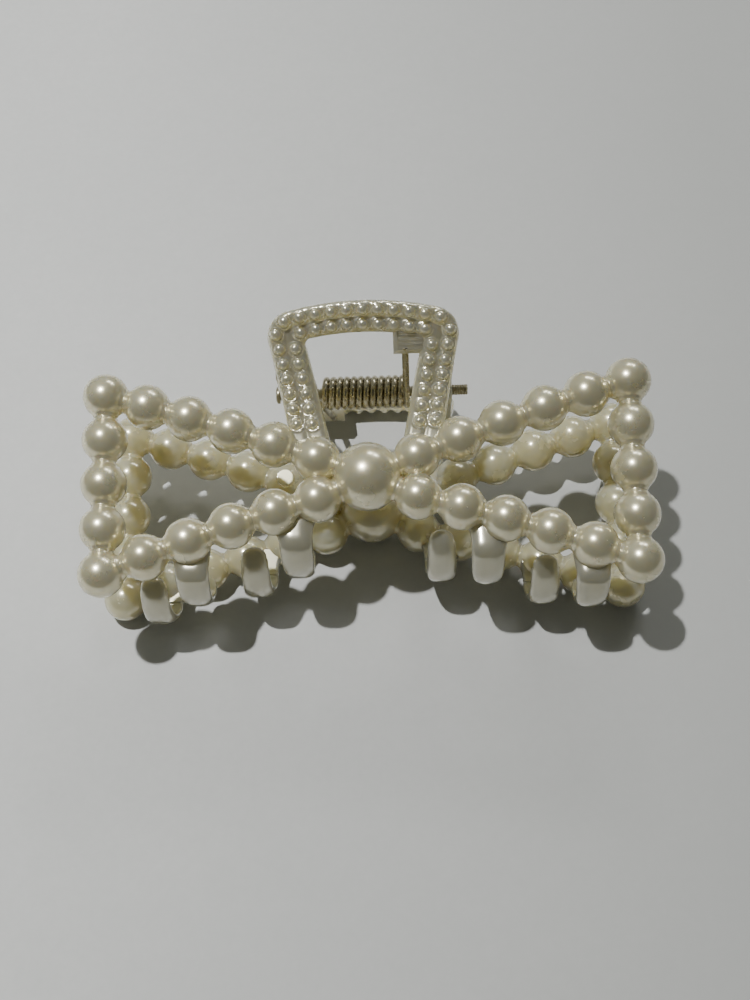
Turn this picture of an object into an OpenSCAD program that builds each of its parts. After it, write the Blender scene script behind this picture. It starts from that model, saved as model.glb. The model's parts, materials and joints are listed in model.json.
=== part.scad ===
// Spring hair claw with two pearl-bow jaws.
// Each half is one plastic moulding: a bow of pearls, a handle frame set with seed pearls,
// a spring tab, two hinge lugs and four curled teeth. The back half is the front half turned
// half a turn about the upright axis. A thin screw hinges them and a torsion spring shuts them.
// The halves are drawn upright, hinge axis along X through the origin, the front half towards -Y.
// The finished clip is then laid on its back half, as it rests on a table.

/* [Bow] */
// Diameter of the pearls along the bow
pearl_d = 7.3; // [6.9:0.1:7.4]
// Diameter of the large pearl in the middle of the bow
centre_d = 10.8; // [10.3:0.1:11]
// Diameter of the neck that joins two neighbouring pearls
neck_d = 3.8; // [3:0.1:4.2]
// Distance from the middle to the centres of the end column
half_span = 41.4; // [40:0.1:42.5]
// Depth of the bow in front of the mid-plane, at hinge height
bow_depth = 11.5; // [11.3:0.1:12]
// How far the ends of the bow curl back towards the mid-plane
wing_curl = 1; // [0.5:0.1:1.4]

/* [Handle] */
// Radius of the flare of the handle sheet, on its outer face
handle_r = 26; // [25:0.5:28]
// Length of the handle along its flare
handle_len = 24.75; // [24:0.25:25.5]
// Thickness of the handle sheet
handle_t = 2.4; // [2:0.1:2.6]
// Height of the top rail along the flare
rail_w = 5.4; // [5:0.1:5.8]
// Radius of the outer corners of the handle
handle_corner_r = 4; // [3:0.1:4.5]
// Diameter of the seed pearls
seed_d = 1.9; // [1.6:0.1:2]

/* [Teeth] */
// Outer radius of the curl of a tooth
tooth_r = 9.3; // [9:0.1:9.4]
// Thickness of a tooth
tooth_t = 1.8; // [1.4:0.1:2]
// Width of a tooth where it leaves the bow
tooth_root_w = 6; // [5.5:0.1:6.2]
// Width of a tooth at its tip
tooth_tip_w = 4.2; // [3.6:0.1:4.4]
// Angle through which a tooth curls
tooth_sweep = 158; // [150:1:160]

/* [Hinge] */
// Diameter of the hinge screw
screw_d = 1.8; // [1.6:0.1:2]
// Diameter of the screw's head
screw_head_d = 2.9; // [2.6:0.1:3.2]
// Radial clearance between the screw and the lugs that turn on it
hinge_clearance = 0.05; // [0.02:0.01:0.1]
// Radius of the eye of a lug
lug_eye_r = 2.6; // [2.3:0.1:2.8]

/* [Spring] */
// Diameter of the spring wire
wire_d = 1.1; // [0.9:0.1:1.1]
// Mean diameter of the coil
coil_d = 4.5; // [4.2:0.1:4.7]
// Number of full turns
coil_turns = 12; // [11:1:12]

/* [Hidden] */
$fn = 48;
left = -1;
right = 1;

// Bow: heights of the pearl centres below the hinge axis
top_corner_z = -3.26;
bottom_corner_z = -31.98;
top_inner_z = -14.83;
bottom_inner_z = -21.3;
centre_z = -17.7;
// Bow: where the rows end beside the centre pearl, and how far the rows arch upwards
inner_x = 7.8;
top_arch = 0.42;
bottom_arch = 0.5;
// Bow: slope and curve of its face with height
face_slope = 0.062;
face_curve = 0.0007;
centre_depth = 10;
row_count = 5;
column_count = 5;
pearl_r = pearl_d / 2;
// Moulding gate: a cut stub on the inner side of one pearl
gate_pearl = 4;
gate_d = 3;
gate_h = 0.3;

// Handle: root of the sheet, half widths at the root, their growth along the flare
handle_root_y = 11.3;
handle_root_z = -14.6;
outer_half_w = 11.45;
outer_growth = 0.186;
inner_half_w = 5.3;
inner_growth = 0.21;
rail_arch = 0.0115;
leg_split_x = 9;
leg_start = -1;
prism_reach = 12;
// Seed pearls: two rows set in from the edges of the frame
seed_first = 5.2;
seed_pitch = 2.37;
seed_outer_legs = 7;
seed_inner_legs = 6;
seed_outer_top = 11;
seed_inner_top = 9;
seed_outer_inset = 1.6;
seed_row_gap = 2.45;
seed_top_pitch = 2.4;

// Spring tab: block in one inner corner of the handle
tab_x = [4.6, 9.4];
tab_s = [15.6, 20];
tab_skin = 0.2;
tab_t = 3;

// Hinge lugs: the outer one under the screw's head, the inner one beside the spring
outer_lug_x = [12.5, 14.5];
inner_lug_x = [10.2, 12.2];
lug_bite = 1;
lug_reach = 20;
screw_head_t = 0.6;
screw_head_gap = 0.1;
screw_tail = 2;

// Teeth: places along the bow, and the line that the centres of their curls lie on
tooth_x = [-27.5, -11.3, 18.4, 34.3];
tooth_axis_y = 2.7;
tooth_axis_z = -19;
tooth_axis_fall = 0.279;
// A tooth nearer the end of the bow curls a little tighter
tooth_mid_x = 24;
tooth_shrink = 0.025;
tip_round_r = 2.4;
tip_spare = 6;

// Spring: pitch of the close-wound turns and the centre of the coil
coil_pitch = wire_d + 0.04;
coil_mid_x = -0.4;
leg_bite = 2.2;
leg_slack = 0.06;
coil_start_x = coil_mid_x - coil_turns * coil_pitch / 2;
coil_end_x = coil_mid_x + coil_turns * coil_pitch / 2;
last_turn = 300;

// Colours
ivory = [0.88, 0.85, 0.76];
pearl = [0.93, 0.91, 0.85];
bronze = [0.36, 0.32, 0.26];
steel = [0.48, 0.45, 0.38];

// Depth of the bow's face at a point, measured from the mid-plane
function face_depth(x, z) =
    bow_depth + face_slope * z + face_curve * z * z - wing_curl * pow(x / half_span, 2);

// Centre of a pearl of a half's bow: [x, y, z] of the front half
function on_face(x, z) = [x, -face_depth(x, z), z];
function row_x(side, i) = side * (half_span + (inner_x - half_span) * i / row_count);
function row_z(i, outer_z, inner_z, arch) =
    let (u = i / row_count) outer_z + (inner_z - outer_z) * u + arch * 4 * u * (1 - u);
function top_point(side, i) =
    on_face(row_x(side, i), row_z(i, top_corner_z, top_inner_z, top_arch));
function bottom_point(side, i) =
    on_face(row_x(side, i), row_z(i, bottom_corner_z, bottom_inner_z, bottom_arch));
function column_point(side, i) =
    on_face(side * half_span,
            top_corner_z + (bottom_corner_z - top_corner_z) * i / (column_count - 1));
centre_point = [0, -centre_depth, centre_z];

// Handle sheet: [depth, height] of its outer face at a length s along the flare
function flare(s) = s / handle_r * 180 / PI;
function sheet_depth(s) = handle_root_y + handle_r * (1 - cos(flare(s)));
function sheet_height(s) = handle_root_z + handle_r * sin(flare(s));
mid_flare = flare(handle_len / 2);
// Height of that point in the flat outline that cuts the frame out of the sheet
function flat(s) =
    (sheet_depth(s) - handle_root_y) * sin(mid_flare)
    + (sheet_height(s) - handle_root_z) * cos(mid_flare);
function outer_x(s) = outer_half_w + outer_growth * s;
function inner_x_at(s) = inner_half_w + inner_growth * s;
function rail_top(x) = handle_len - rail_arch * x * x;
function rail_bottom(x) = rail_top(x) - rail_w;

// The clip lies on the outer top edge of the back handle and on two bottom corner pearls
rest_pearl = [face_depth(half_span, bottom_corner_z), bottom_corner_z];
rest_edge = [sheet_depth(handle_len), sheet_height(handle_len)];
rest_span = rest_edge - rest_pearl;
rest_tilt = acos(pearl_r / norm(rest_span)) - atan2(rest_span[1], rest_span[0]);
rest_lift = rest_edge[0] * cos(rest_tilt) - rest_edge[1] * sin(rest_tilt);
// Middle of the lying clip along the table, from its furthest tooth to the back rail's inner edge
function table_y(depth, z) = depth * sin(rest_tilt) + z * cos(rest_tilt);
function tooth_reach(x) = tooth_r - tooth_shrink * (abs(x) - tooth_mid_x);
low_end = table_y(-tooth_axis_y, tooth_axis_z - tooth_axis_fall * tooth_x[3])
    - tooth_reach(tooth_x[3]);
rim_t = handle_t / cos(flare(handle_len) - mid_flare);
high_end = table_y(sheet_depth(handle_len) - rim_t * cos(mid_flare),
                   sheet_height(handle_len) + rim_t * sin(mid_flare));
rest_mid_y = (low_end + high_end) / 2;

// Lays the upright clip on the table
module lying() {
    translate([0, -rest_mid_y, rest_lift]) rotate([rest_tilt - 90, 0, 0]) children();
}

module front() {
    lying() children();
}

module back() {
    lying() rotate([0, 0, 180]) children();
}

// Straight round rod from a to b
module rod(a, b, d) {
    v = b - a;
    translate(a) rotate([0, acos(v[2] / norm(v)), atan2(v[1], v[0])]) cylinder(d = d, h = norm(v));
}

// Pearls at the points, each joined to the one before it by a neck.
// A pearl's poles face the front and back, and its seam is turned away from the necks.
module pearl_run(points, seam) {
    for (i = [0 : len(points) - 1])
        translate(points[i]) rotate([90, 0, 0]) rotate([0, 0, seam]) sphere(d = pearl_d);
    for (i = [1 : len(points) - 1])
        rod(points[i - 1], points[i], neck_d);
}

module centre_pearl() {
    color(pearl) translate(centre_point) sphere(d = centre_d);
}

module top_row(side) {
    color(ivory) {
        pearl_run([for (i = [1 : row_count]) top_point(side, i)], 90);
        rod(column_point(side, 0), top_point(side, 1), neck_d);
        if (side == right)
            translate(top_point(side, gate_pearl))
                rotate([-90, 0, 0]) cylinder(d = gate_d, h = pearl_r + gate_h);
    }
}

module bottom_row(side) {
    color(ivory) {
        pearl_run([for (i = [1 : row_count]) bottom_point(side, i)], -90);
        rod(column_point(side, column_count - 1), bottom_point(side, 1), neck_d);
    }
}

module end_column(side) {
    color(ivory) pearl_run([for (i = [0 : column_count - 1]) column_point(side, i)], 0);
}

// Curved sheet of the handle, between two depths behind its outer face
module sheet(skin, thickness) {
    translate([-20, -handle_root_y - handle_r, handle_root_z]) rotate([0, 90, 0])
        difference() {
            cylinder(r = handle_r + skin + thickness, h = 40, $fn = 128);
            translate([0, 0, -1]) cylinder(r = handle_r + skin, h = 42, $fn = 128);
        }
}

// Prism across the sheet, over a flat outline of [x, s] points
module across(outline) {
    translate([0, -handle_root_y, handle_root_z]) rotate([90 + mid_flare, 0, 0])
        translate([0, 0, -prism_reach]) linear_extrude(2 * prism_reach)
            polygon([for (p = outline) [p[0], flat(p[1])]]);
}

// Outer corner of the frame: an arc between the leg's side and the top of the rail
corner_s = rail_top(outer_half_w) - handle_corner_r;
corner_x = outer_x(corner_s) - handle_corner_r * norm([1, outer_growth]);
corner_arc = [for (a = [-10 : 14.3 : 76])
    [corner_x + handle_corner_r * cos(a), corner_s + handle_corner_r * sin(a)]];
// Height at which the opening is as wide as the straight part of the rail
leg_split_s = (leg_split_x - inner_half_w) / inner_growth;

module handle_leg(side) {
    outline = concat(
        [[inner_x_at(leg_start), leg_start], [outer_x(leg_start), leg_start]],
        corner_arc,
        [[leg_split_x, rail_top(leg_split_x)], [leg_split_x, leg_split_s]]
    );
    color(ivory) intersection() {
        sheet(0, handle_t);
        across([for (p = outline) [side * p[0], p[1]]]);
    }
}

module handle_rail() {
    steps = [for (k = [-4 : 4]) leg_split_x * k / 4];
    color(ivory) intersection() {
        sheet(0, handle_t);
        across(concat([for (x = steps) [x, rail_bottom(x)]], [for (x = steps) [-x, rail_top(x)]]));
    }
}

// Middle of a seed pearl at [x, s] on the sheet's outer face
function seed_point(x, s) = [x, -sheet_depth(s), sheet_height(s)];

module seed_pearls() {
    outer_legs = [for (k = [0 : seed_outer_legs - 1]) let (s = seed_first + k * seed_pitch)
        [outer_x(s) - seed_outer_inset, s]];
    inner_legs = [for (k = [0 : seed_inner_legs - 1]) let (s = seed_first + k * seed_pitch)
        [outer_x(s) - seed_outer_inset - seed_row_gap, s]];
    outer_top = [for (k = [0 : seed_outer_top - 1])
        let (x = (k - (seed_outer_top - 1) / 2) * seed_top_pitch)
        [x, rail_top(x) - seed_outer_inset]];
    inner_top_row = [for (k = [0 : seed_inner_top - 1])
        let (x = (k - (seed_inner_top - 1) / 2) * seed_top_pitch)
        [x, rail_top(x) - seed_outer_inset - seed_row_gap]];
    both_legs = concat(outer_legs, inner_legs);
    all_seeds = concat(both_legs, [for (p = both_legs) [-p[0], p[1]]], outer_top, inner_top_row);
    color(pearl) for (p = all_seeds) translate(seed_point(p[0], p[1])) sphere(d = seed_d, $fn = 24);
}

// Front leg of the spring: it leaves the bottom of the coil and ends inside the tab
tab_mid_s = tab_s[0] + 0.6;
tab_core = handle_r + tab_skin + tab_t / 2;
leg_end = [handle_root_y + handle_r - tab_core * cos(flare(tab_mid_s)),
           handle_root_z + tab_core * sin(flare(tab_mid_s))];
leg_slope = atan2(leg_end[1], leg_end[0]) + asin(coil_d / 2 / norm(leg_end));
leg_root = coil_d / 2 * [sin(leg_slope), -cos(leg_slope)];
leg_tip = leg_end + leg_bite / 2 * [cos(leg_slope), sin(leg_slope)];
leg_x = coil_end_x;

module spring_leg(x) {
    rod([x, -leg_root[0], leg_root[1]], [x, -leg_tip[0], leg_tip[1]], wire_d - leg_slack);
}

module spring_tab() {
    color(ivory) difference() {
        intersection() {
            sheet(tab_skin, tab_t);
            across([[tab_x[0], tab_s[0]], [tab_x[1], tab_s[0]], [tab_x[1], tab_s[1]],
                    [tab_x[0], tab_s[1]]]);
        }
        rod([leg_x, -leg_root[0], leg_root[1]], [leg_x, -leg_tip[0], leg_tip[1]], wire_d);
    }
}

// Lug: an eye round the screw on a straight arm that runs into the handle leg
module lug(first_x, last_x, bore_r) {
    width = last_x - first_x;
    color(ivory) translate([first_x, 0, 0]) rotate([90, 0, 90]) difference() {
        union() {
            cylinder(r = lug_eye_r, h = width);
            translate([-lug_reach, -lug_eye_r, 0]) cube([lug_reach, 2 * lug_eye_r, width]);
        }
        translate([-handle_root_y - handle_r, handle_root_z, -1])
            cylinder(r = handle_r + lug_bite, h = width + 2, $fn = 128);
        translate([0, 0, -1]) cylinder(r = bore_r, h = width + 2);
    }
}

module outer_lug(bore_r) {
    lug(-outer_lug_x[1], -outer_lug_x[0], bore_r);
}

module inner_lug(bore_r) {
    lug(inner_lug_x[0], inner_lug_x[1], bore_r);
}

// Tooth: a flat strip curled about an axis along X, tapering to a round tip
module tooth(x) {
    reach = tooth_reach(x);
    tip_x = reach * cos(tooth_sweep);
    translate([x, -tooth_axis_y, tooth_axis_z - tooth_axis_fall * abs(x)])
        rotate([-90, 0, 0]) rotate([0, 90, 0]) color(ivory) intersection() {
            rotate_extrude(angle = tooth_sweep + tip_spare, $fn = 96)
                translate([reach - tooth_t, -tooth_root_w / 2]) square([tooth_t, tooth_root_w]);
            rotate([90, 0, 0]) linear_extrude(4 * reach, center = true) polygon([
                [reach + 1, tooth_root_w / 2], [tip_x, tooth_tip_w / 2], [-reach - 1, tooth_tip_w / 2],
                [-reach - 1, -tooth_tip_w / 2], [tip_x, -tooth_tip_w / 2],
                [reach + 1, -tooth_root_w / 2]]);
            rotate([0, 0, tooth_sweep]) rotate([90, 0, 90]) linear_extrude(4 * reach, center = true)
                round_end(4 * reach);
        }
}

// Outline that trims the end of a tooth to an arc a little wider than the tip
module round_end(length) {
    translate([-tip_round_r, 0]) circle(r = tip_round_r);
    translate([-length, -tooth_root_w]) square([length - tip_round_r, 2 * tooth_root_w]);
}

module hinge_screw() {
    shaft = outer_lug_x[1] + screw_head_gap;
    lying() {
        color(steel) rod([-shaft, 0, 0], [shaft + screw_tail, 0, 0], screw_d);
        color(steel) rod([-shaft - screw_head_t, 0, 0], [-shaft, 0, 0], screw_head_d);
    }
}

// Turns of the coil that stay with the back half, as one ribbed sleeve
module spring_coil() {
    turns = coil_turns - 1;
    lying() color(bronze) rotate([0, 90, 0]) rotate_extrude() {
        for (k = [0 : turns - 1])
            translate([coil_d / 2, coil_start_x + k * coil_pitch]) circle(d = wire_d, $fn = 24);
        translate([coil_d / 2 - wire_d / 4, coil_start_x])
            square([wire_d / 2, (turns - 1) * coil_pitch]);
    }
}

// Last turn of the coil and the leg to the front tab
module spring_front_leg() {
    front() color(bronze) {
        spring_leg(leg_x);
        translate([leg_x, 0, 0]) rotate([90, 0, 90]) rotate([0, 0, -90 - leg_slope])
            rotate_extrude(angle = last_turn) translate([coil_d / 2, 0])
                circle(d = wire_d, $fn = 24);
    }
}

module spring_back_leg() {
    back() color(bronze) spring_leg(leg_x);
}

front() centre_pearl();  // front_centre_pearl
front() top_row(left);  // front_top_row_left
front() top_row(right);  // front_top_row_right
front() bottom_row(left);  // front_bottom_row_left
front() bottom_row(right);  // front_bottom_row_right
front() end_column(left);  // front_end_column_left
front() end_column(right);  // front_end_column_right
front() handle_leg(left);  // front_handle_leg_left
front() handle_leg(right);  // front_handle_leg_right
front() handle_rail();  // front_handle_rail
front() seed_pearls();  // front_seed_pearls
front() spring_tab();  // front_spring_tab
front() outer_lug(screw_d / 2 + hinge_clearance);  // front_hinge_lug_left
front() inner_lug(screw_d / 2 + hinge_clearance);  // front_hinge_lug_right
front() tooth(tooth_x[0]);  // front_tooth_1
front() tooth(tooth_x[1]);  // front_tooth_2
front() tooth(tooth_x[2]);  // front_tooth_3
front() tooth(tooth_x[3]);  // front_tooth_4
back() centre_pearl();  // back_centre_pearl
back() top_row(right);  // back_top_row_left
back() top_row(left);  // back_top_row_right
back() bottom_row(right);  // back_bottom_row_left
back() bottom_row(left);  // back_bottom_row_right
back() end_column(right);  // back_end_column_left
back() end_column(left);  // back_end_column_right
back() handle_leg(right);  // back_handle_leg_left
back() handle_leg(left);  // back_handle_leg_right
back() handle_rail();  // back_handle_rail
back() seed_pearls();  // back_seed_pearls
back() spring_tab();  // back_spring_tab
back() inner_lug(screw_d / 2);  // back_hinge_lug_left
back() outer_lug(screw_d / 2);  // back_hinge_lug_right
back() tooth(tooth_x[3]);  // back_tooth_1
back() tooth(tooth_x[2]);  // back_tooth_2
back() tooth(tooth_x[1]);  // back_tooth_3
back() tooth(tooth_x[0]);  // back_tooth_4
hinge_screw();
spring_coil();
spring_front_leg();
spring_back_leg();
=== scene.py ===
"""Pearl bow hair claw: the visual model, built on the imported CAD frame.

The geometry is worked out in millimetres in a half's own frame: X along the bow, Z up towards the
handle, the half at -Y, the hinge axis through the origin. lay() places a half in the row frame.
Solid shapes are signed distance fields, negative inside, that skin() turns into closed quad meshes.
"""

import json
import math

import bpy
import numpy as np
from mathutils import Matrix, Vector


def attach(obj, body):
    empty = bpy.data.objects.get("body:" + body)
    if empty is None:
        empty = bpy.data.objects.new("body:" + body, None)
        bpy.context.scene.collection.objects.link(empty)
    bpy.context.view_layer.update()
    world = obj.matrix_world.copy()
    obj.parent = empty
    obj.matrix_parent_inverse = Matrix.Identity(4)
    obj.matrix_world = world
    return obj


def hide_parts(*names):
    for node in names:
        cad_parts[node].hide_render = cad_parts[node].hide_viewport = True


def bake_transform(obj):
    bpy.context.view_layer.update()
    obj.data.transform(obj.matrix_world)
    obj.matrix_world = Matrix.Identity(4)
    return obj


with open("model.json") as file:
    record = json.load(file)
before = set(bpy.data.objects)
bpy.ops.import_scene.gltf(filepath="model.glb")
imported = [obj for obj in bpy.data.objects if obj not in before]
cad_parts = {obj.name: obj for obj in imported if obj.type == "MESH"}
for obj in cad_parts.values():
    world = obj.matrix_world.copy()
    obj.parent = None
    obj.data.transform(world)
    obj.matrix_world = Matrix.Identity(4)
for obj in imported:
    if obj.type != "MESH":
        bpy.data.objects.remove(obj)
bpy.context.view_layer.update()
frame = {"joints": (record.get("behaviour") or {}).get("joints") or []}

MM = 0.001
HALVES = ("front", "back")

# Attitude of the clip on the table, and its hinge
TILT = math.radians(13.4631)
HINGE = np.array(frame["joints"][0]["pos_m"], float)

# Bow
PEARL_R = 3.65
CENTRE_R = 5.4
NECK_R = 2.0
HALF_SPAN = 41.4
INNER_X = 7.8
BOW_DEPTH = 11.5
FACE_SLOPE = 0.062
FACE_CURVE = 0.0007
WING_CURL = 1.0
CENTRE = (0.0, -10.0, -17.7)
TOP_ROW = (-3.26, -14.83, 0.42)
BOTTOM_ROW = (-31.98, -21.3, 0.5)
ROW_COUNT = 5
COLUMN_COUNT = 5
NECK_FILLET = 0.3
NECK_GROOVE, NECK_GROOVE_W = 0.22, 0.2
# Round flat of the moulding gate, on one inner pearl of the top row
GATE_PEARL = 4
GATE_R = 1.5
GATE_H = 0.3
GATE_EDGE_R, GATE_FILLET = 0.12, 0.1

# Handle: a sheet flared about an axis along X, cut to an arched frame
FLARE_R = 26.0
ROOT_DEPTH = 11.3
ROOT_Z = -14.6
HANDLE_LEN = 24.75
HANDLE_T = 2.4
OUTER_HALF_W, OUTER_GROWTH = 11.45, 0.186
INNER_HALF_W, INNER_GROWTH = 5.3, 0.21
RAIL_W = 5.4
RAIL_ARCH = 0.0115
CORNER_R = 4.0
OPENING_R = 0.9
LEG_START = -1.0
FACE_EDGE_R = 1.1
BACK_EDGE_R = 0.4
CREASE_DEPTH = 0.2
CREASE_W = 0.45
MID_FLARE = HANDLE_LEN / 2 / FLARE_R

# Seed pearls
SEED_R = 0.95
SEED_INSET = 1.6
SEED_ROW_GAP = 2.45
SEED_FIRST = 5.2
SEED_PITCH = 2.37
SEED_TOP_PITCH = 2.4
SEED_COUNTS = {"outer leg": 7, "inner leg": 6, "outer top": 11, "inner top": 9}
SEED_FILLET = 0.12
SEED_SINK = 0.22
SEED_RING, SEED_RING_H, SEED_RING_W = 1.12, 0.15, 0.16

# Spring tab
TAB_X = (4.6, 9.4)
TAB_S = (15.6, 20.0)
TAB_SKIN = 0.2
TAB_T = 3.0
TAB_CHAMFER_W, TAB_CHAMFER_DEPTH = 0.7, 0.5

# Hinge lugs
OUTER_LUG_X = (-13.95, -12.45)
INNER_LUG_X = (10.2, 12.2)
LUG_R = 2.6
LUG_BITE = 1.0
LUG_EDGE_R = 0.35

# Teeth
TOOTH_X = (-27.5, -11.3, 18.4, 34.3)
TOOTH_DEPTH = 2.7
TOOTH_Z, TOOTH_FALL = -19.0, 0.279
TOOTH_R, TOOTH_SHRINK, TOOTH_MID_X = 9.3, 0.025, 24.0
TOOTH_T = 1.8
TOOTH_NECK_W, TOOTH_TIP_W = 5.6, 4.2
TOOTH_SWEEP = math.radians(158)
TOOTH_TIP_R = 2.2
TOOTH_EDGE_R = 0.42
TOOTH_CROWN = 0.8
TOOTH_LEAN = 0.045
TOOTH_SETBACK = 0.25
TOOTH_DOME = 0.55
TOOTH_FLARE, TOOTH_FLARE_REACH = 0.45, 0.6
TOOTH_SIDE_R, TOOTH_ROOT_R = 0.5, 2.2
TOOTH_BEND = 4.0
TOOTH_STEM = 4.5
TOOTH_OUTER_FILLET, TOOTH_INNER_FILLET = 1.0, 0.8
TOOTH_BOX_HALF_W = 3.8

# Hinge screw
SCREW_R = 0.9
SCREW_FROM, SCREW_TO = -14.6, 16.6
HEAD_R, HEAD_T = 1.45, 0.6
THREAD_PITCH, THREAD_DEPTH = 0.4, 0.11
THREAD_FROM = -10.2
SCREW_SIDES = 48

# Torsion spring
WIRE_R = 0.55
COIL_R = 2.25
COIL_TURNS = 12
COIL_PITCH = 1.14
COIL_MID_X = -0.4
LEG_SLOPE = math.radians(12.7)
LEG_BITE = 1.1
LEG_TAB_X = 6.44
WIRE_SIDES = 20

# Mesh steps, in mm
BOW_STEP = 0.275
HANDLE_STEP = 0.2
LUG_STEP = 0.15
TOOTH_STEP = 0.18

# A distance beyond any that matters, in mm
FAR = 9.0


# ---------------------------------------------------------------- placing


def lay(points, half):
    """Points of a half's own frame, in mm, as row-frame points in metres."""
    p = np.array(points, float)
    if half == "back":
        p = p * (-1, -1, 1)
    y = p[:, 1] * math.sin(TILT) + p[:, 2] * math.cos(TILT)
    z = -p[:, 1] * math.cos(TILT) + p[:, 2] * math.sin(TILT)
    return np.column_stack([p[:, 0], y, z]) * MM + HINGE


def lay_directions(vectors, half):
    """Directions of a half's own frame as row-frame directions."""
    return (lay(vectors, half) - HINGE) / MM


def piece(name, vertices, faces, half, material, normals=None, coat=None, body=None):
    """A mesh object in the row frame, with a lacquer attribute for its material.

    coat is how much lacquer each vertex carries. Where it isn't given, the lacquer fades towards the
    side that faces the other jaw, or is whole if there are no normals. The piece rides on body, if given.
    """
    mesh = bpy.data.meshes.new(name)
    mesh.from_pydata(lay(vertices, half).tolist(), [], [tuple(f) for f in faces])
    mesh.polygons.foreach_set("use_smooth", np.ones(len(mesh.polygons), bool))
    mesh.materials.append(material)
    obj = bpy.data.objects.new(name, mesh)
    bpy.context.scene.collection.objects.link(obj)
    if normals is not None:
        laid = lay_directions(normals, half)
        mesh.normals_split_custom_set_from_vertices(laid.tolist())
    if coat is None and normals is None:
        coat = np.ones(len(vertices))
    elif coat is None:
        coat = np.clip(0.35 - 0.9 * normals[:, 1], 0, 1)
    lacquer = mesh.attributes.new("lacquer", "FLOAT", "POINT")
    lacquer.data.foreach_set("value", coat.astype(np.float32))
    if body:
        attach(obj, body)
    return obj


# ---------------------------------------------------------------- distance fields


def smooth_min(a, b, fillet):
    """Union of two fields with a fillet between them."""
    h = np.clip(0.5 + 0.5 * (b - a) / fillet, 0, 1)
    return b + (a - b) * h - fillet * h * (1 - h)


def rounded_and(a, b, radius):
    """Intersection of two fields with its edge rounded."""
    a, b = a + radius, b + radius
    return np.minimum(np.maximum(a, b), 0) + np.hypot(np.maximum(a, 0), np.maximum(b, 0)) - radius


def surface_net(values, axes):
    """Vertices and quads of the zero surface of a grid of values."""
    inside = values < 0
    cells = tuple(n - 1 for n in values.shape)
    total = np.zeros(cells + (3,), np.float32)
    count = np.zeros(cells, np.int8)
    crossings = []
    for axis in range(3):
        a, b = (axis + 1) % 3, (axis + 2) % 3
        low = [slice(None)] * 3
        high = [slice(None)] * 3
        low[axis], high[axis] = slice(None, -1), slice(1, None)
        v0, v1 = values[tuple(low)], values[tuple(high)]
        crossed = inside[tuple(low)] != inside[tuple(high)]
        along = np.where(crossed, v0 / np.where(crossed, v0 - v1, 1), 0).astype(np.float32)
        crossings.append((axis, a, b, crossed, inside[tuple(low)]))
        for da in (0, 1):
            for db in (0, 1):
                window = [slice(None)] * 3
                window[a] = slice(da, da + cells[a])
                window[b] = slice(db, db + cells[b])
                hit = crossed[tuple(window)]
                total[..., axis] += along[tuple(window)]
                total[..., a] += hit * np.float32(da)
                total[..., b] += hit * np.float32(db)
                count += hit
    active = count > 0
    index = np.full(cells, -1, np.int64)
    index[active] = np.arange(active.sum())
    where = np.argwhere(active)
    offset = total[active] / count[active][:, None]
    steps = np.array([ax[1] - ax[0] for ax in axes])
    vertices = np.array([ax[0] for ax in axes]) + (where + offset) * steps
    quads = []
    for axis, a, b, crossed, low_inside in crossings:
        e = np.argwhere(crossed)
        flip = ~low_inside[tuple(e.T)]
        ring = []
        for da, db in ((-1, -1), (0, -1), (0, 0), (-1, 0)):
            c = e.copy()
            c[:, a] += da
            c[:, b] += db
            ring.append(index[tuple(c.T)])
        ring = np.column_stack(ring)
        ring[flip] = ring[flip][:, ::-1]
        quads.append(ring)
    return vertices, np.concatenate(quads)


def gradient(field, p, h=0.02):
    """Gradient of a field at each point, by central differences of h mm."""
    g = np.empty_like(p)
    for k in range(3):
        step = np.zeros(3)
        step[k] = h
        g[:, k] = (field(p + step) - field(p - step)) / (2 * h)
    return g


def skin(field, low, high, step, rounds=4):
    """Closed mesh of the surface field = 0 inside a box: vertices, quads and exact normals."""
    axes = [np.arange(a - 1.5 * step, b + 2.5 * step, step) for a, b in zip(low, high)]
    ys, zs = np.meshgrid(axes[1], axes[2], indexing="ij")
    values = np.empty((len(axes[0]),) + ys.shape, np.float32)
    for i, x in enumerate(axes[0]):
        plane = np.column_stack([np.full(ys.size, x), ys.ravel(), zs.ravel()])
        values[i] = field(plane).reshape(ys.shape)
    vertices, quads = surface_net(values, axes)
    for _ in range(rounds):
        g = gradient(field, vertices)
        move = field(vertices)[:, None] * g / np.maximum((g * g).sum(1), 0.05)[:, None]
        vertices -= np.clip(move, -0.5 * step, 0.5 * step)
    normals = gradient(field, vertices)
    normals /= np.maximum(np.linalg.norm(normals, axis=1), 1e-9)[:, None]
    return vertices, quads, normals


# ---------------------------------------------------------------- bow


def on_face(x, z):
    """The point at x, z on the curved face that the pearls' centres lie on."""
    depth = BOW_DEPTH + FACE_SLOPE * z + FACE_CURVE * z * z - WING_CURL * (x / HALF_SPAN) ** 2
    return np.array([x, -depth, z])


def row_point(side, i, row):
    corner_z, inner_z, arch = row
    u = i / ROW_COUNT
    x = side * (HALF_SPAN + (INNER_X - HALF_SPAN) * u)
    return on_face(x, corner_z + (inner_z - corner_z) * u + arch * 4 * u * (1 - u))


def bow_chains():
    """Chains of pearl centres; neighbours in a chain are joined by a neck."""
    chains = []
    for side in (-1, 1):
        top = [row_point(side, i, TOP_ROW) for i in range(ROW_COUNT + 1)]
        bottom = [row_point(side, i, BOTTOM_ROW) for i in range(ROW_COUNT + 1)]
        column = [
            on_face(side * HALF_SPAN, TOP_ROW[0] + (BOTTOM_ROW[0] - TOP_ROW[0]) * k / (COLUMN_COUNT - 1))
            for k in range(COLUMN_COUNT)
        ]
        chains += [top, bottom, column]
    return chains


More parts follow.
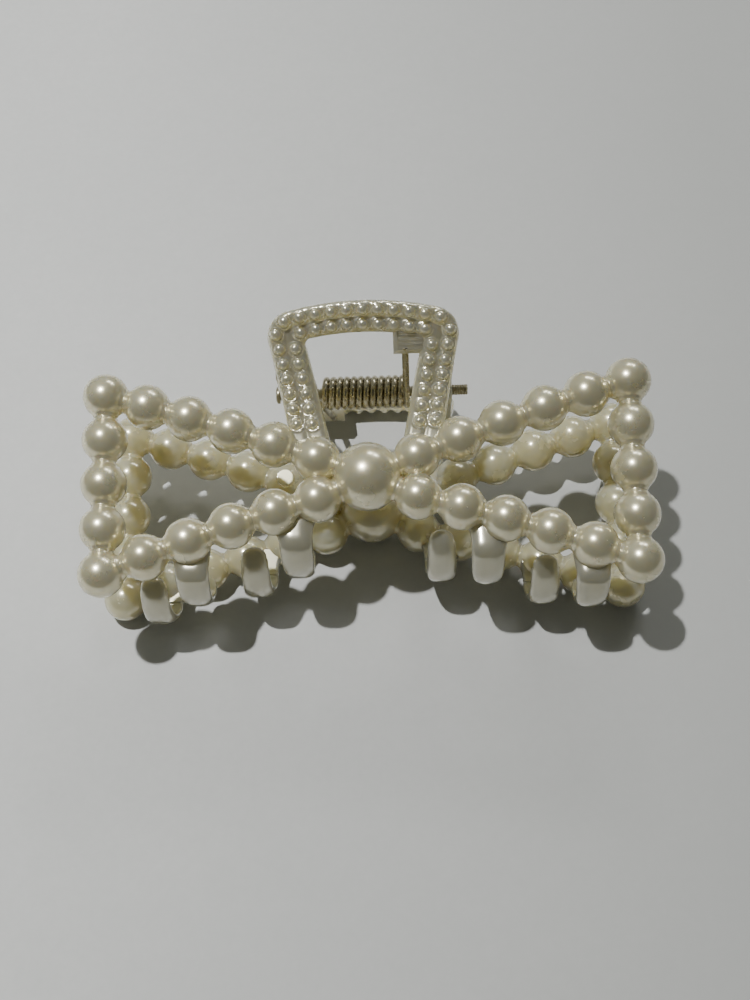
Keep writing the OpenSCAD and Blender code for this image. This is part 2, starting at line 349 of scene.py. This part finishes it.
def bow_field():
    spheres, necks = [(np.array(CENTRE), CENTRE_R)], []
    for chain in bow_chains():
        for p in chain:
            if all(np.linalg.norm(p - q) > 0.1 for q, _ in spheres):
                spheres.append((p, PEARL_R))
        necks += list(zip(chain[:-1], chain[1:]))
        if len(chain) == ROW_COUNT + 1:
            necks.append((chain[-1], np.array(CENTRE)))
    gate = row_point(1, GATE_PEARL, TOP_ROW)

    def field(p):
        low, high = p[:, 0].min() - 0.6, p[:, 0].max() + 0.6
        d = np.full(len(p), FAR)
        for c, r in spheres:
            if low - r < c[0] < high + r:
                d = np.minimum(d, np.linalg.norm(p - c, axis=1) - r)
        necked = np.full(len(p), FAR)
        for a, b in necks:
            if min(a[0], b[0]) - NECK_R < high and max(a[0], b[0]) + NECK_R > low:
                v = b - a
                t = np.clip((p - a) @ v / (v @ v), 0, 1)
                off_middle = (t - 0.5) * np.linalg.norm(v)
                groove = NECK_GROOVE * np.exp(-((off_middle / NECK_GROOVE_W) ** 2))
                rod = np.linalg.norm(p - a - t[:, None] * v, axis=1) - NECK_R + groove
                necked = np.minimum(necked, rod)
        d = smooth_min(d, necked, NECK_FILLET)
        if low - GATE_R < gate[0] < high + GATE_R:
            q = p - gate
            round_side = np.hypot(q[:, 0], q[:, 2]) - GATE_R
            flat_end = np.abs(q[:, 1] - 2) - (PEARL_R + GATE_H - 2)
            d = smooth_min(d, rounded_and(round_side, flat_end, GATE_EDGE_R), GATE_FILLET)
        return d

    return field


def in_slabs(field, width=1.5):
    """The same field, worked out slab by slab along X, so that each slab meets few primitives."""

    def sliced(p):
        key = np.floor(p[:, 0] / width).astype(int)
        order = np.argsort(key, kind="stable")
        out = np.empty(len(p))
        edges = np.flatnonzero(np.diff(key[order])) + 1
        for part in np.split(order, edges):
            out[part] = field(p[part])
        return out

    return sliced


# ---------------------------------------------------------------- handle


def sheet_point(x, s, behind):
    """Own-frame point at a length s along the flare, behind mm behind the outer face."""
    a = s / FLARE_R
    r = FLARE_R + behind
    return np.array([x, -(ROOT_DEPTH + FLARE_R - r * math.cos(a)), ROOT_Z + r * math.sin(a)])


def unroll(p):
    """x, length along the flare, depth behind the outer face, and length where the prism meets it."""
    depth, z = -p[:, 1], p[:, 2]
    across, up = ROOT_DEPTH + FLARE_R - depth, z - ROOT_Z
    behind = np.hypot(across, up) - FLARE_R
    flat = (depth - ROOT_DEPTH) * math.sin(MID_FLARE) + up * math.cos(MID_FLARE)
    ratio = np.clip(flat / FLARE_R - math.sin(MID_FLARE), -1, 1)
    cut = FLARE_R * (MID_FLARE + np.arcsin(ratio))
    return p[:, 0], FLARE_R * np.arctan2(up, across), behind, cut


def rail_top(x):
    return HANDLE_LEN - RAIL_ARCH * x * x


def outer_outline(x, s):
    side = (np.abs(x) - OUTER_HALF_W - OUTER_GROWTH * s) / math.hypot(1, OUTER_GROWTH)
    top = (s - rail_top(x)) / np.hypot(1, 2 * RAIL_ARCH * x)
    return rounded_and(side, top, CORNER_R)


def frame_outline(x, s):
    side = (np.abs(x) - INNER_HALF_W - INNER_GROWTH * s) / math.hypot(1, INNER_GROWTH)
    top = (s - rail_top(x) + RAIL_W) / np.hypot(1, 2 * RAIL_ARCH * x)
    opening = rounded_and(side, top, OPENING_R)
    return np.maximum(np.maximum(outer_outline(x, s), -opening), LEG_START - s)


def seed_places():
    places = []
    for side in (-1, 1):
        for inner, name in enumerate(("outer leg", "inner leg")):
            for k in range(SEED_COUNTS[name]):
                s = SEED_FIRST + SEED_PITCH * k
                x = OUTER_HALF_W + OUTER_GROWTH * s - SEED_INSET - SEED_ROW_GAP * inner
                places.append((side * x, s))
    for inner, name in enumerate(("outer top", "inner top")):
        n = SEED_COUNTS[name]
        for k in range(n):
            x = (k - (n - 1) / 2) * SEED_TOP_PITCH
            places.append((x, rail_top(x) - SEED_INSET - SEED_ROW_GAP * inner))
    return [sheet_point(x, s, SEED_SINK) for x, s in places]


def handle_field():
    seeds = seed_places()

    def field(p):
        x, _, behind, cut = unroll(p)
        inset = -outer_outline(x, cut)
        crease = CREASE_DEPTH * np.exp(-(((inset - SEED_INSET - SEED_ROW_GAP / 2) / CREASE_W) ** 2))
        low, high = p[:, 0].min() - 2, p[:, 0].max() + 2
        close = [np.linalg.norm(p - c, axis=1) for c in seeds if low < c[0] < high]
        ring = 0
        if close:
            off_ring = np.sqrt(np.maximum(np.min(close, axis=0) ** 2 - SEED_SINK**2, 0)) - SEED_RING
            ring = SEED_RING_H * np.exp(-((off_ring / SEED_RING_W) ** 2))
        edge = frame_outline(x, cut)
        front = rounded_and(edge, crease - ring - behind, FACE_EDGE_R)
        rear = rounded_and(edge, behind - HANDLE_T, BACK_EDGE_R)
        d = np.where(behind < HANDLE_T - 2 * BACK_EDGE_R, front, rear)
        for distance in close:
            d = smooth_min(d, distance - SEED_R, SEED_FILLET)
        return d

    return field


def lug_field(xs):
    mid, half_t = (xs[0] + xs[1]) / 2, (xs[1] - xs[0]) / 2

    def field(p):
        y, z = p[:, 1], p[:, 2]
        eye = np.hypot(y, z) - LUG_R
        arm = np.maximum(np.abs(z) - LUG_R, y)
        flank = np.abs(p[:, 0] - mid) - half_t
        plate = rounded_and(np.minimum(eye, arm), flank, LUG_EDGE_R)
        behind = np.hypot(ROOT_DEPTH + FLARE_R + y, z - ROOT_Z) - FLARE_R
        plate = np.maximum(plate, LUG_BITE - behind)
        return rounded_and(plate, SCREW_R + 0.02 - np.hypot(y, z), 0.15)

    return field


# ---------------------------------------------------------------- teeth


def tooth_field(x0):
    """Field of a curled strip, the middle of its curl, and the corners of a box round it.

    The strip is domed outside and at its tip. It widens where it meets the pearls, and is set back there.
    """
    reach = TOOTH_R - TOOTH_SHRINK * (abs(x0) - TOOTH_MID_X)
    axis_z = TOOTH_Z - TOOTH_FALL * abs(x0)
    middle = reach - TOOTH_T / 2
    tip_at = reach * math.cos(TOOTH_SWEEP)
    pearls = [c for chain in bow_chains() for c in chain if abs(c[0] - x0) < 8 and c[2] < axis_z + 3]
    row_z = np.interp(x0, *np.array(sorted((c[0], c[2]) for c in pearls)).T)
    straight = -on_face(x0, row_z)[1] - TOOTH_DEPTH - TOOTH_SETBACK

    def field(p):
        outward, down = -p[:, 1] - TOOTH_DEPTH, axis_z - p[:, 2]
        rho = np.hypot(outward, down)
        angle = np.arctan2(down, outward)
        angle = np.where(angle < -math.pi / 2, angle + 2 * math.pi, angle)
        cross = np.abs(p[:, 0] - x0)
        u = np.clip((reach + 1 - rho * np.cos(angle)) / (reach + 1 - tip_at), 0, 1)
        near = np.min([np.linalg.norm(p - c, axis=1) for c in pearls], axis=0) - PEARL_R
        flare = TOOTH_FLARE * np.exp(-np.maximum(near, 0) / TOOTH_FLARE_REACH)
        half_w = TOOTH_NECK_W / 2 + (TOOTH_TIP_W - TOOTH_NECK_W) / 2 * u + flare
        beyond = middle * (angle - TOOTH_SWEEP)
        tip = np.where(
            beyond > -TOOTH_TIP_R, np.hypot(beyond + TOOTH_TIP_R, cross) - TOOTH_TIP_R, beyond
        )
        outline = rounded_and(cross - half_w, tip, TOOTH_SIDE_R)
        outline = rounded_and(outline, -middle * angle, TOOTH_ROOT_R)
        dome = TOOTH_DOME * np.clip(1 + beyond / TOOTH_TIP_R, 0, 1) ** 2
        crown = TOOTH_CROWN * np.minimum(cross / half_w, 1.2) ** 3 + dome
        lean = straight + TOOTH_LEAN * (down - TOOTH_BEND)
        outer = -smooth_min(reach - rho, lean - outward, TOOTH_OUTER_FILLET) + crown
        stem = np.maximum(straight - TOOTH_T - outward, down - TOOTH_STEM)
        inner = smooth_min(reach - TOOTH_T - rho, stem, TOOTH_INNER_FILLET)
        return rounded_and(outline, np.maximum(outer, inner), TOOTH_EDGE_R)

    low = (x0 - TOOTH_BOX_HALF_W, -TOOTH_DEPTH - reach - 0.2, axis_z - reach - 0.2)
    high = (x0 + TOOTH_BOX_HALF_W, -TOOTH_DEPTH + reach + 0.2, axis_z + 0.4)
    return field, np.array([x0, -TOOTH_DEPTH, axis_z]), low, high


# ---------------------------------------------------------------- spring tab


def tab_mesh():
    """Block behind the frame's face: a fine-ribbed panel with a chamfer round its free edges."""
    us = np.linspace(TAB_X[0], TAB_X[1], 41)
    vs = np.linspace(TAB_S[0], TAB_S[1], 111)
    u, v = np.meshgrid(us, vs, indexing="ij")
    free_edge = np.minimum(u - TAB_X[0], v - TAB_S[0])
    chamfer = TAB_CHAMFER_DEPTH * np.clip(1 - free_edge / TAB_CHAMFER_W, 0, 1)
    flat = np.clip((free_edge - TAB_CHAMFER_W) / 0.2, 0, 1)
    ribs = 0.018 * np.sin(v * 2 * math.pi / 0.42 + 0.5 * np.sin(u * 1.7))
    ribs += 0.012 * np.sin(v * 2 * math.pi / 0.27 + 1.1 * np.sin(u * 0.9 + 1))
    front = TAB_SKIN + chamfer + 0.04 + flat * ribs
    layers = [front, np.full_like(front, 0.9), np.full_like(front, TAB_SKIN + TAB_T)]
    vertices = [sheet_point(a, b, c) for grid in layers for a, b, c in zip(u.flat, v.flat, grid.flat)]
    nu, nv = u.shape

    def at(k, i, j):
        return k * nu * nv + i * nv + j

    faces = []
    for i in range(nu - 1):
        for j in range(nv - 1):
            faces.append((at(0, i, j), at(0, i + 1, j), at(0, i + 1, j + 1), at(0, i, j + 1)))
            faces.append((at(2, i, j), at(2, i, j + 1), at(2, i + 1, j + 1), at(2, i + 1, j)))
    rim = [(i, 0) for i in range(nu)] + [(nu - 1, j) for j in range(1, nv)]
    rim += [(i, nv - 1) for i in range(nu - 2, -1, -1)] + [(0, j) for j in range(nv - 2, 0, -1)]
    for (i, j), (m, n) in zip(rim, rim[1:] + rim[:1]):
        for k in (0, 1):
            faces.append((at(k, i, j), at(k + 1, i, j), at(k + 1, m, n), at(k, m, n)))
    used = sorted({q for f in faces for q in f})
    remap = {q: n for n, q in enumerate(used)}
    return np.array(vertices)[used], [tuple(remap[q] for q in f) for f in faces]


# ---------------------------------------------------------------- screw and spring


def turned(profile, sides, twist):
    """Solid of revolution about X from (x, r) points; twist(x, angles) adds to the radius."""
    angles = np.arange(sides) * 2 * math.pi / sides
    vertices, faces = [(profile[0][0], 0.0, 0.0)], []
    for x, r in profile:
        extra = twist(x, angles)
        vertices += [(x, -(r + e) * math.sin(a), (r + e) * math.cos(a)) for a, e in zip(angles, extra)]
    vertices.append((profile[-1][0], 0.0, 0.0))
    last = len(vertices) - 1
    for k in range(sides):
        m = (k + 1) % sides
        faces.append((0, 1 + m, 1 + k))
        for i in range(len(profile) - 1):
            a = 1 + i * sides
            faces.append((a + k, a + m, a + sides + m, a + sides + k))
        a = 1 + (len(profile) - 1) * sides
        faces.append((a + k, a + m, last))
    return np.array(vertices), faces


def thread(x, angles):
    """What the thread takes off the radius; it fades out towards the head and at the point."""
    phase = (x / THREAD_PITCH - angles / (2 * math.pi)) % 1
    ridge = 1 - np.abs(2 * phase - 1)
    fade = min(1, max(0, x - THREAD_FROM) / 0.4) * min(1, max(0, SCREW_TO - 0.12 - x) / 0.15)
    return THREAD_DEPTH * (np.clip(ridge * 1.6 - 0.3, 0, 1) - 1) * fade


def screw_mesh():
    head = [(-HEAD_T, 0.55), (-HEAD_T, 1.1), (-HEAD_T + 0.05, 1.25), (-HEAD_T + 0.14, 1.37)]
    head += [(-HEAD_T + 0.26, HEAD_R - 0.02), (-HEAD_T + 0.4, HEAD_R), (-0.06, HEAD_R - 0.01)]
    head += [(0.0, HEAD_R - 0.08), (0.0, SCREW_R)]
    profile = [(SCREW_FROM + x, r) for x, r in head]
    shaft = np.arange(SCREW_FROM + 0.1, SCREW_TO - 0.16, THREAD_PITCH / 8)
    profile += [(x, SCREW_R) for x in shaft]
    profile += [(SCREW_TO - 0.12, SCREW_R - 0.04), (SCREW_TO, SCREW_R - 0.16), (SCREW_TO, 0.3)]
    return turned(profile, SCREW_SIDES, thread)


def spring_path():
    """Centreline of the wire: back leg, coil, front leg."""
    reach = sheet_point(0, TAB_S[0] + 0.6, TAB_SKIN + TAB_T / 2)
    root = COIL_R * np.array([math.sin(LEG_SLOPE), -math.cos(LEG_SLOPE)])
    length = np.hypot(-reach[1] - root[0], reach[2] - root[1]) + LEG_BITE
    first, last = COIL_MID_X - COIL_TURNS * COIL_PITCH / 2, COIL_MID_X + COIL_TURNS * COIL_PITCH / 2
    along = np.linspace(length, 0, 40)[:-1]
    cs, sn = math.cos(LEG_SLOPE), math.sin(LEG_SLOPE)
    back = [
        (first + (-LEG_TAB_X - first) * (a / length), root[0] + a * cs, root[1] + a * sn) for a in along
    ]
    ts = np.linspace(-LEG_SLOPE, COIL_TURNS * 2 * math.pi + LEG_SLOPE, COIL_TURNS * 44 + 1)
    share = np.clip(ts / (COIL_TURNS * 2 * math.pi), 0, 1)
    coil = [
        (first + (last - first) * w, -COIL_R * math.sin(t), -COIL_R * math.cos(t))
        for t, w in zip(ts, share)
    ]
    front = [(last, -root[0] - a * cs, root[1] + a * sn) for a in along[::-1]]
    return np.array(back + coil + front)


def tube(path, radius, sides):
    """Closed round tube along a path, carried without twist, with slightly domed ends."""
    tangent = np.gradient(path, axis=0)
    tangent /= np.linalg.norm(tangent, axis=1)[:, None]
    normal = np.cross(tangent[0], (0.3, 0.2, 0.9))
    rings = []
    angles = np.arange(sides) * 2 * math.pi / sides
    for p, t in zip(path, tangent):
        normal = normal - t * (normal @ t)
        normal /= np.linalg.norm(normal)
        side = np.cross(t, normal)
        rings.append(p + radius * (np.outer(np.cos(angles), normal) + np.outer(np.sin(angles), side)))
    first = path[0] + 0.82 * (rings[0] - path[0]) - tangent[0] * radius * 0.25
    last = path[-1] + 0.82 * (rings[-1] - path[-1]) + tangent[-1] * radius * 0.25
    rings = [first] + rings + [last]
    vertices = np.vstack(rings + [first.mean(0)[None], last.mean(0)[None]])
    n = len(rings)
    faces = []
    for k in range(sides):
        m = (k + 1) % sides
        faces += [
            (i * sides + k, i * sides + m, (i + 1) * sides + m, (i + 1) * sides + k)
            for i in range(n - 1)
        ]
        faces.append((n * sides, m, k))
        faces.append((n * sides + 1, (n - 1) * sides + k, (n - 1) * sides + m))
    return vertices, faces


# ---------------------------------------------------------------- materials


class Nodes:
    """Short hand for building a node material."""

    def __init__(self, name):
        self.material = bpy.data.materials.new(name)
        self.material.use_nodes = True
        self.tree = self.material.node_tree
        self.shader = self.tree.nodes["Principled BSDF"]
        self.coordinates = self.add("ShaderNodeTexCoord").outputs["Object"]

    def add(self, kind, **inputs):
        node = self.tree.nodes.new(kind)
        for key, value in inputs.items():
            self.feed(node.inputs[key.replace("_", " ")], value)
        return node

    def feed(self, socket, value):
        if isinstance(value, bpy.types.NodeSocket):
            self.tree.links.new(value, socket)
        else:
            socket.default_value = value

    def noise(self, scale, detail=3.0, rough=0.5):
        node = self.add("ShaderNodeTexNoise", Scale=scale, Detail=detail, Roughness=rough)
        self.feed(node.inputs["Vector"], self.coordinates)
        return node.outputs["Fac"]

    def spread(self, value, a, b, c=0.0, d=1.0):
        """Maps a..b of a value to c..d."""
        node = self.add("ShaderNodeMapRange")
        for k, v in zip(("Value", "From Min", "From Max", "To Min", "To Max"), (value, a, b, c, d)):
            self.feed(node.inputs[k], v)
        return node.outputs["Result"]

    def mix(self, factor, a, b):
        node = self.tree.nodes.new("ShaderNodeMix")
        node.data_type = "RGBA"
        self.feed(node.inputs[0], factor)
        self.feed(node.inputs[6], a)
        self.feed(node.inputs[7], b)
        return node.outputs[2]

    def math(self, operation, a, b):
        node = self.tree.nodes.new("ShaderNodeMath")
        node.operation = operation
        self.feed(node.inputs[0], a)
        self.feed(node.inputs[1], b)
        return node.outputs[0]

    def attribute(self, name):
        node = self.tree.nodes.new("ShaderNodeAttribute")
        node.attribute_name = name
        return node.outputs["Fac"]

    def bump(self, height, distance, strength=1.0):
        node = self.add("ShaderNodeBump", Strength=strength, Distance=distance, Height=height)
        self.feed(self.shader.inputs["Normal"], node.outputs["Normal"])

    def set(self, **values):
        for key, value in values.items():
            self.feed(self.shader.inputs[key.replace("_", " ")], value)


# How far, in metres, light spreads under the bare ivory side
BARE_REACH = 0.012


def rgb(r, g, b):
    return (r, g, b, 1.0)


def pearl_material(name, light, dark, bare, metallic, reach, rough):
    """Satin pearl lacquer over ivory plastic that shows on the side facing the other jaw.

    reach is how far, in metres, light spreads under the lacquer; rough is the roughness of its satin.
    """
    n = Nodes(name)
    coat = n.attribute("lacquer")
    drift = n.spread(n.noise(170.0, 2.0), 0.3, 0.7)
    flow = n.spread(n.noise(520.0, 4.0, 0.6), 0.35, 0.65)
    lacquer = n.mix(drift, rgb(*dark), rgb(*light))
    lacquer = n.mix(n.math("MULTIPLY", flow, 0.2), lacquer, rgb(*(0.88 * v for v in dark)))
    plastic = n.mix(drift, rgb(*(0.9 * v for v in bare)), rgb(*bare))
    n.set(Base_Color=n.mix(coat, plastic, lacquer))
    n.set(Metallic=n.spread(coat, 0.0, 1.0, 0.3, metallic))
    n.set(Roughness=n.spread(n.noise(300.0, 3.0), 0.3, 0.7, rough - 0.015, rough + 0.015))
    n.set(Coat_Weight=1.0, Coat_Roughness=0.09, Coat_IOR=1.75)
    n.set(Subsurface_Weight=n.spread(coat, 0.0, 1.0, 1.0, 0.6))
    n.set(Subsurface_Scale=n.spread(coat, 0.0, 1.0, BARE_REACH, reach))
    n.set(Subsurface_Radius=(1.0, 0.85, 0.5))
    n.bump(n.noise(420.0, 2.0, 0.5), 0.0000015, 0.5)
    return n.material


def wire_material():
    n = Nodes("oiled_bronze_wire")
    stain = n.spread(n.noise(420.0, 4.0, 0.6), 0.35, 0.65)
    colour = n.mix(stain, rgb(0.43, 0.39, 0.275), rgb(0.58, 0.535, 0.40))
    n.set(Base_Color=colour, Metallic=1.0)
    n.set(Roughness=n.spread(n.noise(1400.0, 4.0), 0.3, 0.7, 0.20, 0.30))
    n.bump(n.noise(2600.0, 4.0), 0.00001, 0.5)
    return n.material


def screw_material():
    n = Nodes("dull_plated_steel")
    stain = n.spread(n.noise(600.0, 4.0, 0.6), 0.35, 0.65)
    n.set(Base_Color=n.mix(stain, rgb(0.34, 0.31, 0.21), rgb(0.50, 0.46, 0.34)), Metallic=1.0)
    n.set(Roughness=n.spread(n.noise(1800.0, 4.0), 0.3, 0.7, 0.28, 0.46))
    n.bump(n.noise(2600.0, 3.0), 0.00001, 0.4)
    return n.material


def floor_material():
    """Pale table top with a faint grain, and painted shade that darkens it towards the right."""
    n = Nodes("pale_table")
    broad = n.spread(n.noise(18.0, 3.0), 0.3, 0.7)
    fine = n.spread(n.noise(700.0, 4.0, 0.6), 0.3, 0.7)
    colour = n.mix(broad, rgb(0.70, 0.71, 0.695), rgb(0.74, 0.745, 0.73))
    mottle = n.spread(n.noise(230.0, 4.0, 0.6), 0.35, 0.65)
    colour = n.mix(n.math("MULTIPLY", mottle, 0.22), colour, rgb(0.62, 0.635, 0.62))
    colour = n.mix(n.math("MULTIPLY", fine, 0.25), colour, rgb(0.60, 0.61, 0.595))
    across = n.tree.nodes.new("ShaderNodeSeparateXYZ")
    n.tree.links.new(n.coordinates, across.inputs[0])
    # Painted shade: the table colour darkens towards +X, standing in for the key lamp's light falling off
    # there.
    painted_falloff_shade = n.spread(across.outputs["X"], -0.06, 0.07, 0.0, 0.7)
    n.set(Base_Color=n.mix(painted_falloff_shade, colour, rgb(0.46, 0.47, 0.455)), Roughness=0.75)
    n.bump(n.noise(1200.0, 3.0), 0.00003, 0.3)
    return n.material


IVORY = (0.62, 0.58, 0.39)
pearl = pearl_material(
    "pearl_lacquer", light=(0.82, 0.77, 0.555), dark=(0.75, 0.70, 0.48), bare=IVORY,
    metallic=0.68, reach=0.004, rough=0.265,
)
# Painted shade: the teeth and the spring tab get the bow's pearl lacquer with a much darker base colour;
# light spreads further under it.
shaded_thin_pearl = pearl_material(
    "thin_pearl_lacquer", light=(0.49, 0.47, 0.365), dark=(0.44, 0.42, 0.32), bare=IVORY,
    metallic=0.50, reach=0.014, rough=0.225,
)
frame_pearl = pearl_material(
    "frame_lacquer", light=(0.73, 0.70, 0.53), dark=(0.67, 0.64, 0.475), bare=IVORY,
    metallic=0.64, reach=0.004, rough=0.24,
)
wire = wire_material()
steel = screw_material()

# ---------------------------------------------------------------- the pieces

coarse = 1.0

# Each shape once, in a half's own frame. skin() takes a field, the box in mm round it, and a mesh step
bow = skin(
    in_slabs(bow_field()),
    (-HALF_SPAN - PEARL_R, CENTRE[1] - CENTRE_R - 1.2, BOTTOM_ROW[0] - PEARL_R),
    (HALF_SPAN + PEARL_R, -4.0, TOP_ROW[0] + PEARL_R),
    BOW_STEP * coarse,
)
handle = skin(
    in_slabs(handle_field()),
    (-17.5, -25.5, ROOT_Z - 1.5),
    (17.5, -ROOT_DEPTH + HANDLE_T + 0.6, 9.0),
    HANDLE_STEP * coarse,
)
tab = tab_mesh()
lugs = {
    "outer": skin(lug_field(OUTER_LUG_X), (-14.6, -22, -2.7), (-12.4, 2.7, 2.7), LUG_STEP * coarse),
    "inner": skin(lug_field(INNER_LUG_X), (10.1, -22, -2.7), (12.3, 2.7, 2.7), LUG_STEP * coarse),
}
teeth = []
for x0 in TOOTH_X:
    field, axis, low, high = tooth_field(x0)
    shape = skin(field, low, high, TOOTH_STEP * coarse)
    # Lacquered on the outside of the curl, bare inside
    spoke = shape[0] - axis
    outwards = (shape[2][:, 1:] * spoke[:, 1:]).sum(1) / np.hypot(spoke[:, 1], spoke[:, 2])
    teeth.append(shape + (np.clip(0.7 + 0.9 * outwards, 0, 1),))

BOW_NODES = (
    "centre_pearl", "top_row_left", "top_row_right", "bottom_row_left", "bottom_row_right",
    "end_column_left", "end_column_right",
)
FRAME_NODES = ("handle_leg_left", "handle_leg_right", "handle_rail", "seed_pearls")

for half in HALVES:
    body = half + "_half"
    mirror = half == "back"

    def add(name, shape, nodes, half=half, body=body, material=pearl):
        vertices, faces = shape[:2]
        normals, coat = (shape[2:] + (None, None))[:2]
        obj = piece(f"{half}_{name}", vertices, faces, half, material, normals, coat, body)
        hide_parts(*[f"{half}_{n}" for n in nodes])

    add("pearl_bow", bow, BOW_NODES)
    add("handle_frame", handle, FRAME_NODES, material=frame_pearl)
    add("ribbed_spring_tab", tab, ("spring_tab",), material=shaded_thin_pearl)
    add("outer_lug", lugs["outer"], ("hinge_lug_right" if mirror else "hinge_lug_left",))
    add("inner_lug", lugs["inner"], ("hinge_lug_left" if mirror else "hinge_lug_right",))
    for k, shape in enumerate(teeth):
        number = 4 - k if mirror else k + 1
        add(f"curled_tooth_{number}", shape, (f"tooth_{number}",), material=shaded_thin_pearl)

screw = piece("threaded_hinge_screw", *screw_mesh(), "front", steel)
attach(screw, "back_half")
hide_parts("hinge_screw")

spring = piece("torsion_spring", *tube(spring_path(), WIRE_R, WIRE_SIDES), "front", wire)
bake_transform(spring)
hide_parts("spring_coil", "spring_front_leg", "spring_back_leg")

# ---------------------------------------------------------------- floor, light, camera

FLOOR_SIZE = 3.0
bpy.ops.mesh.primitive_plane_add(size=FLOOR_SIZE, location=(0, 0, 0))
floor = bpy.context.object
floor.name = "floor"
floor.data.materials.append(floor_material())

# View of the clip, in a half's own frame: what it looks at, from how far, and the turns of the camera
AIM = (0.831, 0.0, -18.663)
DISTANCE = 216.93
YAW, PITCH, ROLL = -0.0274, 0.2799, -0.0214
LENS = 48.01
SENSOR = 36.0

forward = np.array([
    math.sin(YAW) * math.cos(PITCH), math.cos(YAW) * math.cos(PITCH), math.sin(PITCH),
])
level = np.array([math.cos(YAW), -math.sin(YAW), 0.0])
upright = np.cross(level, forward)
right = math.cos(ROLL) * level + math.sin(ROLL) * upright
up = np.cross(right, forward)
place = lay([np.array(AIM) - DISTANCE * forward], "front")[0]
right, up, towards = (Vector(v) for v in lay_directions([right, up, -forward], "front"))
data = bpy.data.cameras.new("camera")
data.lens = LENS
data.sensor_fit = "AUTO"
data.sensor_width = SENSOR
data.clip_start = 0.01
camera = bpy.data.objects.new("camera", data)
bpy.context.scene.collection.objects.link(camera)
turn = Matrix((right, up, towards)).transposed().to_4x4()
camera.matrix_world = Matrix.Translation(Vector(place)) @ turn
bpy.context.scene.camera = camera


def lamp(name, place, aim, power, size, size_y=None):
    """Area light: a disk, or a rectangle if it has a second size. Metres and watts."""
    light = bpy.data.lights.new(name, "AREA")
    light.shape = "RECTANGLE" if size_y else "DISK"
    light.size = size
    if size_y:
        light.size_y = size_y
    light.energy = power
    obj = bpy.data.objects.new(name, light)
    bpy.context.scene.collection.objects.link(obj)
    obj.location = place
    obj.rotation_euler = (Vector(aim) - Vector(place)).to_track_quat("-Z", "Y").to_euler()
    return obj


# A small hard key lamp, high up on the left, and a window of two panes behind the clip
KEY_PLACE, KEY_AIM = (-0.3996, 0.1448, 1.5398), (-0.2, 0.05, 0)
KEY_POWER, KEY_SIZE = 1.62, 0.045
KEY_SPREAD = math.radians(45)
PANE_AIM = (0, 0, 0.02)
PANE_POWER, PANE_W, PANE_H = 0.17, 0.085, 0.05

key = lamp("key", KEY_PLACE, KEY_AIM, KEY_POWER, KEY_SIZE)
key.data.spread = KEY_SPREAD
for side in (-1, 1):
    pane = (0.13 + 0.055 * side, 0.36 - 0.02 * side, 0.30)
    lamp(f"window_pane_{side + 2}", pane, PANE_AIM, PANE_POWER, PANE_W, PANE_H)

# A dim room, brighter towards +Y and -X: its strength goes with Y + ROOM_SLANT * X
ROOM_COLOUR = (0.97, 1.0, 0.89, 1.0)
ROOM_SLANT = -0.45
ROOM_RANGE = {"From Min": -0.3, "From Max": 1.0, "To Min": 0.07, "To Max": 0.30}

world = bpy.data.worlds.new("room")
world.use_nodes = True
room = world.node_tree
direction = room.nodes.new("ShaderNodeTexCoord")
split = room.nodes.new("ShaderNodeSeparateXYZ")
room.links.new(direction.outputs["Generated"], split.inputs[0])
ramp = room.nodes.new("ShaderNodeMapRange")
ramp.interpolation_type = "SMOOTHSTEP"
for socket, value in ROOM_RANGE.items():
    ramp.inputs[socket].default_value = value
slant = room.nodes.new("ShaderNodeMath")
slant.operation = "MULTIPLY_ADD"
slant.inputs[1].default_value = ROOM_SLANT
room.links.new(split.outputs["X"], slant.inputs[0])
room.links.new(split.outputs["Y"], slant.inputs[2])
room.links.new(slant.outputs[0], ramp.inputs["Value"])
room.links.new(ramp.outputs["Result"], room.nodes["Background"].inputs["Strength"])
room.nodes["Background"].inputs["Color"].default_value = ROOM_COLOUR
bpy.context.scene.world = world
